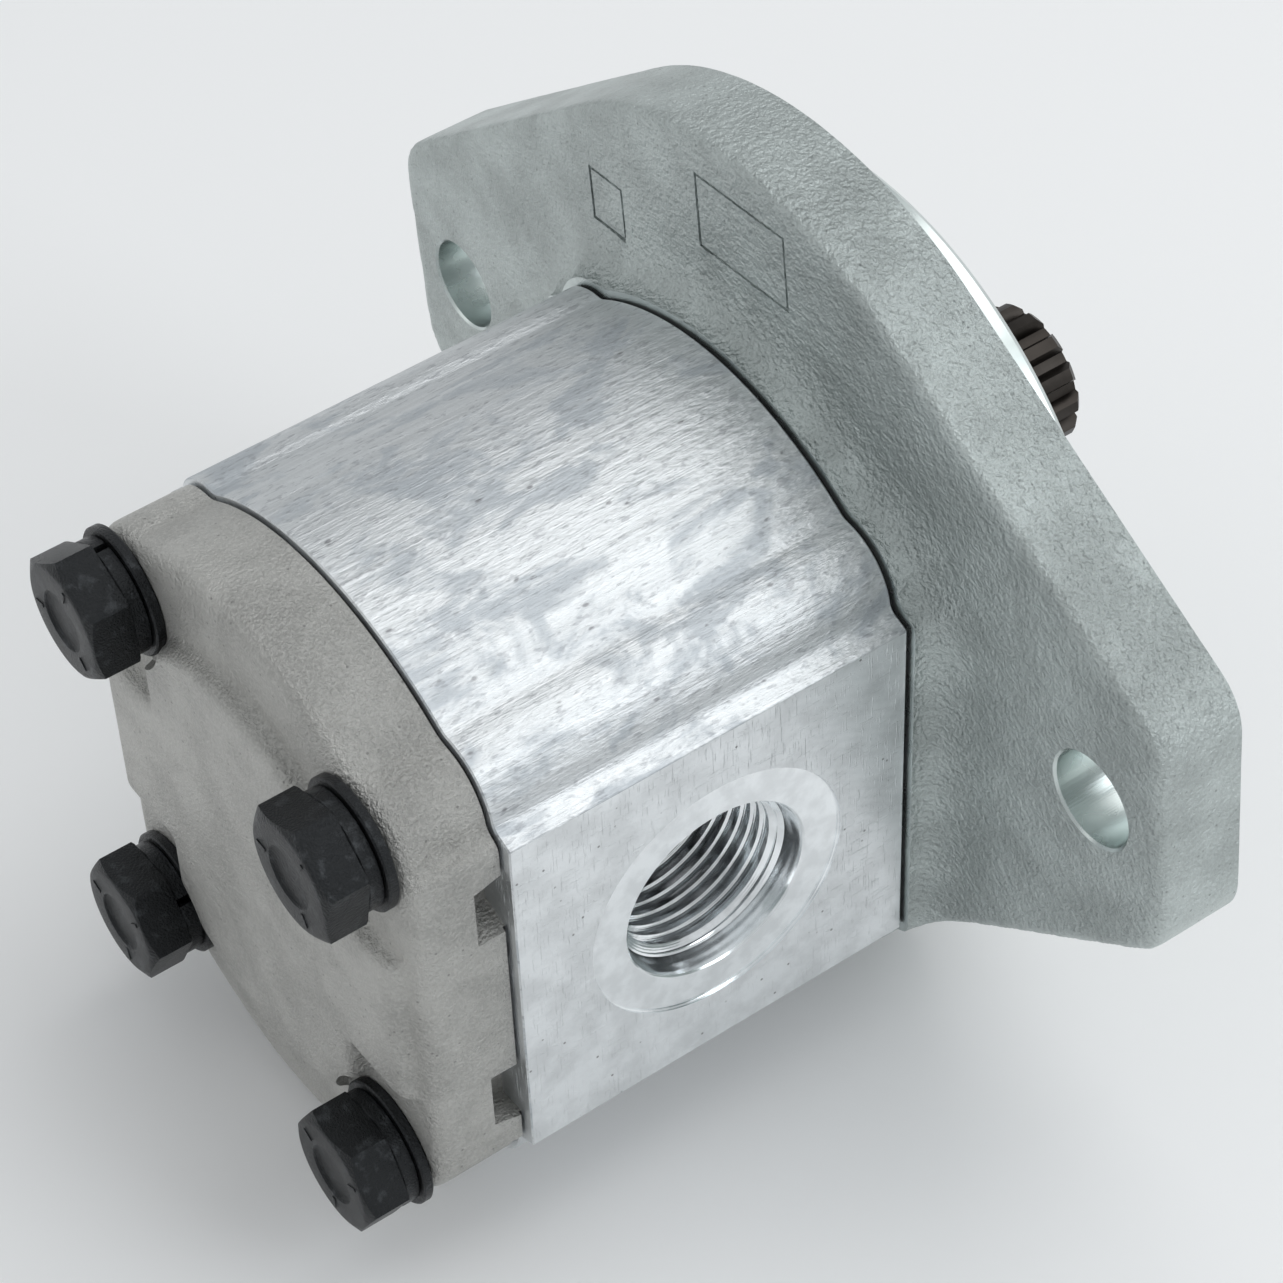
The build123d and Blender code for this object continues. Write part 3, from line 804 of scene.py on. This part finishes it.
class PUMP_OT_body(bpy.types.Operator):
    """Extrudes the body, bores the chamber and machines both threaded ports"""

    bl_idname = "pump.body"
    bl_label = "Pump body"

    def execute(self, context):
        sizes = context.scene.pump_sizes
        find = finish_set()
        finishes = [
            find("extruded_aluminium"), find("milled_aluminium"), find("turned_aluminium"),
            find("painted_seam_shade"),
        ]

        def ring(y, grow):
            return (y, section(grow, HALF_WIDTH + grow, BODY_LIP_ROUND, *BODY_BLENDS))

        gap, deep, edge = sizes.seam_gap, sizes.seam_depth, BODY_EDGE
        rings = [
            ring(SEAM_REAR, -edge), ring(SEAM_REAR + edge, 0), ring(SEAM_FRONT - gap - edge, 0),
            ring(SEAM_FRONT - gap, -edge), ring(SEAM_FRONT - gap, -deep), ring(SEAM_FRONT, -deep),
        ]
        body = as_object("pump_body_extrusion", loft(bmesh.new(), rings), finishes)
        # The front seam groove's walls take the near-black finish: painted shade in the groove
        for face in body.data.polygons:
            if SEAM_FRONT - gap - 0.01 * MM < face.center.y < SEAM_FRONT - 0.01 * MM:
                face.material_index = 3
        for z in (0, IDLER_Z):
            chamber = spin_profile(bmesh.new(), [
                (0, SEAM_REAR - MM), (CHAMBER_RADIUS, SEAM_REAR - MM),
                (CHAMBER_RADIUS, SEAM_FRONT + MM), (0, SEAM_FRONT + MM),
            ], (0, 0, z), (0, 1, 0), 128)
            carve(body, chamber, finish=1)
        holes = bmesh.new()
        for x, z in BOLTS:
            spin_profile(holes, [
                (0, SEAM_REAR - MM), (BOLT_HOLE, SEAM_REAR - MM),
                (BOLT_HOLE, SEAM_FRONT + MM), (0, SEAM_FRONT + MM),
            ], (x, 0, z), (0, 1, 0), 48)
        carve(body, holes, finish=1)
        for side, port in ((1, INLET), (-1, OUTLET)):
            self.port(body, side, port, sizes.spot_depth)
        for face in body.data.polygons:
            on_side = abs(abs(face.center.x) - HALF_WIDTH) < 0.02 * MM
            at_end = abs(face.normal.y) > 0.99
            if face.material_index == 0 and (on_side or at_end):
                face.material_index = 1
        finish_piece(body, HOUSING, ["pump_body"], 28)
        return {"FINISHED"}

    def port(self, body, side, port, spot_depth):
        """Turns a spot face, seat and bore into one side, and cuts the thread"""
        spot, mouth, seat, bore = (port[key] for key in ("spot", "mouth", "seat", "bore"))
        throat, major, pitch = (port[key] for key in ("throat", "major", "pitch"))
        floor = HALF_WIDTH - spot_depth
        seat_end = floor - SEAT_DEPTH
        cone_end = seat_end - (seat - bore)
        bore_end = HALF_WIDTH - PORT_DEPTH
        axis = (side, 0, 0)
        centre = (0, PORT_Y, MID_Z)
        cutter = spin_profile(bmesh.new(), [
            (0, 5 * MM), (throat, 5 * MM), (throat, bore_end), (bore, bore_end), (bore, cone_end),
            (seat, seat_end), (seat + 0.15 * MM, seat_end + 0.1 * MM), (mouth, floor - 0.25 * MM),
            (mouth + 0.25 * MM, floor), (spot - 0.15 * MM, floor), (spot, floor + 0.15 * MM),
            (spot, HALF_WIDTH + 2 * MM), (0, HALF_WIDTH + 2 * MM),
        ], centre, axis, 144)
        carve(body, cutter, finish=2)
        thread = bmesh.new()
        inner = bore - 0.25 * MM
        half = pitch * 3 / 8 + 0.25 * MM * math.tan(math.radians(30))
        start = seat_end + pitch * 0.3
        crest = pitch / 16
        outline = [(-half, inner), (half, inner), (crest, major), (-crest, major)]
        verts = [
            thread.verts.new((side * (start + along), PORT_Y, MID_Z + radius))
            for along, radius in outline
        ]
        face = thread.faces.new(verts)
        bmesh.ops.spin(
            thread, geom=[face], cent=centre, axis=axis,
            dvec=(-side * pitch / STEPS_PER_TURN, 0, 0), angle=2 * math.pi * THREAD_TURNS,
            steps=STEPS_PER_TURN * THREAD_TURNS, use_merge=False)
        carve(body, thread, finish=2)


class PUMP_OT_rear_cover(bpy.types.Operator):
    """Casts the rear cover and machines its seam, spot faces and pockets"""

    bl_idname = "pump.rear_cover"
    bl_label = "Rear cover"

    def execute(self, context):
        sizes = context.scene.pump_sizes
        find = finish_set()
        finishes = [find("die_cast_aluminium"), find("milled_aluminium"), find("painted_seam_shade")]
        extra = 2 * MM

        def ring(y, inset):
            outline = section(
                COVER_GROW - inset, COVER_HALF_WIDTH - inset, COVER_LIP_ROUND, *COVER_BLENDS)
            return (y, outline)

        rings = [ring(SEAM_REAR + extra, 0)]
        for i in range(9):
            turn = math.pi / 2 * i / 8
            rings.append(ring(
                SEAT_Y + COVER_EDGE * (1 - math.sin(turn)), COVER_EDGE * (1 - math.cos(turn))))
        shape = loft(bmesh.new(), rings)
        panel_rear = cover_low.y
        disc = bmesh.new()
        spin_profile(disc, [
            (0, SEAT_Y + 3 * MM), (PANEL_RADIUS, SEAT_Y + 3 * MM), (PANEL_RADIUS, panel_rear),
            (0, panel_rear),
        ], (0, 0, MID_Z), (0, 1, 0), 128)
        for side in (-1, 1):
            bmesh.ops.bisect_plane(
                disc, geom=disc.verts[:] + disc.edges[:] + disc.faces[:],
                plane_co=(side * PANEL_HALF_WIDTH, 0, 0), plane_no=(side, 0, 0), clear_outer=True)
            rim = [e for e in disc.edges if e.is_boundary]
            bmesh.ops.holes_fill(disc, edges=rim)
        settle(disc)
        bar_x, bar_z = PANEL_SIDE
        bar = bmesh.new()
        block(bar, (-bar_x, panel_rear, MID_Z - bar_z), (bar_x, SEAT_Y + 3 * MM, MID_Z + bar_z))
        for part in (disc, bar):
            rim = [
                e for e in part.edges
                if all(abs(v.co.y - panel_rear) < 1e-6 for v in e.verts)
                and e.calc_face_angle(0) > 0.5
            ]
            bmesh.ops.bevel(
                part, geom=rim, offset=PANEL_EDGE, affect="EDGES", segments=5,
                profile=0.5, material=-1)
            mesh = bpy.data.meshes.new("part")
            part.to_mesh(mesh)
            part.free()
            shape.from_mesh(mesh)
            bpy.data.meshes.remove(mesh)
        cover = as_object("rear_cover_casting", shape, finishes)
        cast_skin(cover, sizes.cover_voxel, sizes.cast_waviness * 0.8, 2)

        gap = sizes.seam_gap
        reach = 2 * BODY_RADIUS
        seam = bmesh.new()
        block(seam, (-reach, SEAM_REAR - gap, -reach), (reach, SEAM_REAR + 5 * extra, reach))
        carve(cover, seam, finish=1)
        # The plinth's sides take the near-black finish: painted shade in the rear seam's groove
        plinth = [ring(y, COVER_JOINT_DEPTH) for y in (SEAM_REAR - 2 * gap, SEAM_REAR)]
        carve(cover, loft(bmesh.new(), plinth), "UNION", 2)
        spots = bmesh.new()
        for x, z in BOLTS:
            spin_profile(spots, [
                (0, SEAT_Y), (SPOT_RADIUS - 0.4 * MM, SEAT_Y), (SPOT_RADIUS, SEAT_Y - 0.4 * MM),
                (SPOT_RADIUS, SEAT_Y - 5 * MM), (0, SEAT_Y - 5 * MM),
            ], (x, 0, z), (0, 1, 0), 72)
        carve(cover, spots)
        holes = bmesh.new()
        for x, z in BOLTS:
            spin_profile(holes, [
                (0, SEAT_Y - MM), (BOLT_HOLE, SEAT_Y - MM), (BOLT_HOLE, SEAM_REAR + MM),
                (0, SEAM_REAR + MM),
            ], (x, 0, z), (0, 1, 0), 48)
        carve(cover, holes, finish=1)
        pockets = bmesh.new()
        for side in (-1, 1):
            self.pocket(pockets, side)
        carve(cover, pockets)
        finish_piece(cover, HOUSING, ["rear_cover"])
        return {"FINISHED"}

    def pocket(self, shape, side):
        """One pocket beside the inlet face, with a leaning floor at its inner end"""
        middle = MID_Z + side * POCKET_Z
        low = (COVER_HALF_WIDTH - 5 * MM, SEAM_REAR - 4.6 * MM, middle - POCKET_HALF)
        high = (COVER_HALF_WIDTH + 3 * MM, SEAM_REAR + MM, middle + POCKET_HALF)
        verts = block(shape, low, high)
        for vert in verts:
            inner_end = (vert.co.z - middle) * side < 0
            if inner_end and vert.co.x < COVER_HALF_WIDTH:
                vert.co.z += side * 3 * MM
            if not inner_end and vert.co.y < SEAM_REAR - MM:
                vert.co.z -= side * 1.6 * MM


class PUMP_OT_cover_bolts(bpy.types.Operator):
    """Makes the four cover bolts with chamfered hexagon heads"""

    bl_idname = "pump.cover_bolts"
    bl_label = "Cover bolts"

    def execute(self, context):
        sizes = context.scene.pump_sizes
        find = finish_set()
        rng = random.Random(11)
        head_rear, head_front = bolt_low.y, lock_low.y
        corner = sizes.head_flats / 2 / math.cos(math.pi / 6)
        parts = []
        for i, (x, z) in enumerate(BOLTS):
            shape = bmesh.new()
            lying = (
                Matrix.Translation((x, (head_rear + head_front) / 2, z))
                @ Matrix.Rotation(math.radians(rng.uniform(0, 60)), 4, "Y")
                @ Matrix.Rotation(math.pi / 2, 4, "X"))
            bmesh.ops.create_cone(
                shape, cap_ends=True, segments=6, radius1=corner, radius2=corner,
                depth=head_front - head_rear, matrix=lying)
            bolt = as_object(f"bolt_{i}", shape, [find("black_oxide")])
            flat = sizes.head_flats / 2 * 0.94
            crown = spin_profile(bmesh.new(), [
                (0, head_rear), (flat, head_rear),
                (flat + 0.35 * MM, head_rear + 0.1 * MM),
                (corner + 0.4 * MM, head_rear + (corner - flat) * 0.62),
                (corner + 0.4 * MM, head_front - 0.45 * MM), (corner - 0.3 * MM, head_front),
                (0, head_front),
            ], (x, 0, z), (0, 1, 0), 96)
            carve(bolt, crown, "INTERSECT")
            dimple = spin_profile(bmesh.new(), [
                (0, head_rear - MM), (5.0 * MM, head_rear - MM), (4.6 * MM, head_rear),
                (4.3 * MM, head_rear + 0.32 * MM), (3.6 * MM, head_rear + 0.5 * MM),
                (0, head_rear + 0.42 * MM),
            ], (x, 0, z), (0, 1, 0), 64)
            carve(bolt, dimple)
            shank = bmesh.new()
            spin_profile(shank, [
                (0, head_front - MM), (SHANK_RADIUS, head_front - MM),
                (SHANK_RADIUS, bolt_high.y - 0.8 * MM),
                (4.2 * MM, bolt_high.y), (0, bolt_high.y),
            ], (x, 0, z), (0, 1, 0), 48)
            start = rng.uniform(0, 2 * math.pi)
            for k in range(3):
                turn = start + k * 2 * math.pi / 3
                spot = (
                    Matrix.Translation((x, head_rear, z)) @ Matrix.Rotation(turn, 4, "Y")
                    @ Matrix.Translation((6.3 * MM, 0, 0)))
                verts = block(shank, (-MM, -0.14 * MM, -0.3 * MM), (MM, 0.5 * MM, 0.3 * MM))
                bmesh.ops.transform(shank, matrix=spot, verts=verts)
            carve(bolt, shank, "UNION")
            parts.append(bolt)
        bolts = merge("cover_bolt_set", parts, [find("black_oxide")])
        soften(bolts, BROKEN_EDGE)
        finish_piece(bolts, HOUSING, ["cover_bolts"], 30)
        return {"FINISHED"}


class PUMP_OT_washers(bpy.types.Operator):
    """Makes the split lock washers and the flat washers"""

    bl_idname = "pump.washers"
    bl_label = "Washers"

    def execute(self, context):
        find = finish_set()
        flat = bmesh.new()
        split = bmesh.new()
        rear, front = washer_low.y, washer_high.y
        edge = 0.25 * MM
        for i, (x, z) in enumerate(BOLTS):
            spin_profile(flat, [
                (FLAT_WASHER_BORE, rear), (WASHER_RADIUS - edge, rear),
                (WASHER_RADIUS, rear + edge), (WASHER_RADIUS, front - edge),
                (WASHER_RADIUS - edge, front), (FLAT_WASHER_BORE, front),
            ], (x, 0, z), (0, 1, 0), 72)
            low, high = lock_low.y, lock_high.y
            outer = LOCK_WASHER_RADIUS
            ring = [
                (LOCK_WASHER_BORE, low), (outer - edge, low), (outer, low + edge),
                (outer, high - edge), (outer - edge, high), (LOCK_WASHER_BORE, high),
            ]
            verts = [split.verts.new((x + radius, y, z)) for radius, y in ring]
            section_face = split.faces.new(verts)
            slit_at = math.radians(-40 - 55 * i) - LOCK_WASHER_SLIT / 2
            bmesh.ops.rotate(
                split, verts=verts, cent=(x, 0, z), matrix=Matrix.Rotation(slit_at, 3, "Y"))
            bmesh.ops.spin(
                split, geom=[section_face], cent=(x, 0, z), axis=(0, 1, 0),
                angle=-(2 * math.pi - LOCK_WASHER_SLIT), steps=70, use_merge=False)
        flat_set = as_object("flat_washer_set", flat, [find("black_oxide")])
        finish_piece(flat_set, HOUSING, ["flat_washers"], 40)
        split_set = as_object("lock_washer_set", split, [find("black_oxide")])
        finish_piece(split_set, HOUSING, ["lock_washers"], 40)
        return {"FINISHED"}


class PUMP_OT_working_parts(bpy.types.Operator):
    """Gives shafts, bearing blocks, bushes, seals and pins their finishes"""

    bl_idname = "pump.working_parts"
    bl_label = "Working parts"

    def execute(self, context):
        find = finish_set()
        finish_of = {
            "drive_gear_shaft": "ground_steel",
            "idler_gear_shaft": "ground_steel",
            "front_bearing_block": "bearing_alloy",
            "rear_bearing_block": "bearing_alloy",
            "drive_front_bush": "bush_bronze",
            "drive_rear_bush": "bush_bronze",
            "idler_front_bush": "bush_bronze",
            "idler_rear_bush": "bush_bronze",
            "front_axial_seal": "seal_rubber",
            "rear_axial_seal": "seal_rubber",
            "front_seal_backup": "backup_plastic",
            "rear_seal_backup": "backup_plastic",
            "front_body_seal": "seal_rubber",
            "rear_body_seal": "seal_rubber",
            "shaft_seal_case": "seal_rubber",
            "shaft_seal_lip": "seal_rubber",
            "shaft_seal_spring": "spring_steel",
            "seal_retaining_ring": "spring_steel",
            "front_dowel_pins": "ground_steel",
            "rear_dowel_pins": "ground_steel",
        }
        for name, finish in finish_of.items():
            mesh = frame["nodes"][name].data
            for i in range(len(mesh.materials)):
                mesh.materials[i] = find(finish)
        shaft = frame["nodes"]["drive_gear_shaft"].data
        shaft.materials.append(find("spline_steel"))
        outside = len(shaft.materials) - 1
        for face in shaft.polygons:
            if face.center.y > 6 * MM:
                face.material_index = outside
        return {"FINISHED"}


class PUMP_OT_stage(bpy.types.Operator):
    """Sets up the floor, the soft lights and the camera"""

    bl_idname = "pump.stage"
    bl_label = "Stage"

    def execute(self, context):
        scene = context.scene
        shape = bmesh.new()
        bmesh.ops.create_grid(
            shape, x_segments=1, y_segments=1, size=4,
            matrix=Matrix.Translation((0, 0, cad_low.z - 1.5 * MM)))
        floor_finish = Finish("pale_floor")
        floor = as_object("floor", shape, [floor_finish.shader((0.92, 0.92, 0.92, 1), 0.7, 0.0)])
        if floor.data.polygons[0].normal.z < 0:
            floor.data.flip_normals()
        middle = Vector((0, -0.04, MID_Z))
        for name, towards, distance, size, power, colour in (
            ("key", (0.72, 0.39, 0.57), 1.0, 0.42, 1.7, (0.93, 0.97, 1)),
            ("overhead", (0.05, 0.39, 0.92), 1.1, 0.8, 3.2, (1, 1, 1)),
            ("front", (-0.6, -0.85, 0.35), 1.4, 0.9, 1.3, (1, 0.99, 0.97)),
        ):
            place = middle + Vector(towards).normalized() * distance
            self.light(name, place, middle, size, power, colour)
        world = bpy.data.worlds.new("studio")
        world.use_nodes = True
        backdrop = world.node_tree.nodes["Background"]
        backdrop.inputs["Color"].default_value = (0.95, 0.98, 1, 1)
        backdrop.inputs["Strength"].default_value = 0.62
        scene.world = world
        scene.view_settings.view_transform = "Standard"
        self.camera(scene)
        return {"FINISHED"}

    def light(self, name, place, target, size, power, colour):
        """Hangs a square soft light that faces the pump"""
        lamp = bpy.data.lights.new(name, "AREA")
        lamp.shape = "SQUARE"
        lamp.size = size
        lamp.energy = power
        lamp.color = colour
        holder = bpy.data.objects.new(name, lamp)
        holder.location = place
        holder.rotation_euler = (target - place).to_track_quat("-Z", "Y").to_euler()
        bpy.context.scene.collection.objects.link(holder)

    def camera(self, scene):
        """Stands above the inlet side, looking at the rear of the flange"""
        place = Vector((0.3250, -0.2525, 0.3972))
        aim = Vector((0.00348, -0.03527, -0.00754))
        roll = math.radians(2.54)
        ahead = (aim - place).normalized()
        right = ahead.cross(Vector((0, 0, 1))).normalized()
        upright = right.cross(ahead)
        up = upright * math.cos(roll) + right * math.sin(roll)
        right = ahead.cross(up)
        turn = Matrix((right, up, -ahead)).transposed().to_4x4()
        lens = bpy.data.cameras.new("camera")
        lens.lens = 113.25
        lens.sensor_width = 36
        lens.clip_start = 0.01
        holder = bpy.data.objects.new("camera", lens)
        holder.matrix_world = Matrix.Translation(place) @ turn
        scene.collection.objects.link(holder)
        scene.camera = holder


class PUMP_PT_parts(bpy.types.Panel):
    """Lists the pump's sizes, colours and pieces"""

    bl_label = "Gear pump"
    bl_idname = "PUMP_PT_parts"
    bl_space_type = "VIEW_3D"
    bl_region_type = "UI"
    bl_category = "Gear pump"

    def draw(self, context):
        for group in (context.scene.pump_sizes, context.scene.pump_colours):
            box = self.layout.box()
            for key in group.__annotations__:
                box.prop(group, key)
        for operator in OPERATORS:
            self.layout.operator(operator.bl_idname)


OPERATORS = (
    PUMP_OT_flange,
    PUMP_OT_body,
    PUMP_OT_rear_cover,
    PUMP_OT_cover_bolts,
    PUMP_OT_washers,
    PUMP_OT_working_parts,
    PUMP_OT_stage,
)
CLASSES = (PumpSizes, PumpColours, *OPERATORS, PUMP_PT_parts)


def register():
    for cls in CLASSES:
        bpy.utils.register_class(cls)
    bpy.types.Scene.pump_sizes = bpy.props.PointerProperty(type=PumpSizes)
    bpy.types.Scene.pump_colours = bpy.props.PointerProperty(type=PumpColours)


def unregister():
    del bpy.types.Scene.pump_sizes
    del bpy.types.Scene.pump_colours
    for cls in reversed(CLASSES):
        bpy.utils.unregister_class(cls)


def main():
    register()
    bpy.ops.pump.flange()
    bpy.ops.pump.body()
    bpy.ops.pump.rear_cover()
    bpy.ops.pump.cover_bolts()
    bpy.ops.pump.washers()
    bpy.ops.pump.working_parts()
    bpy.ops.pump.stage()


if __name__ == "__main__":
    main()
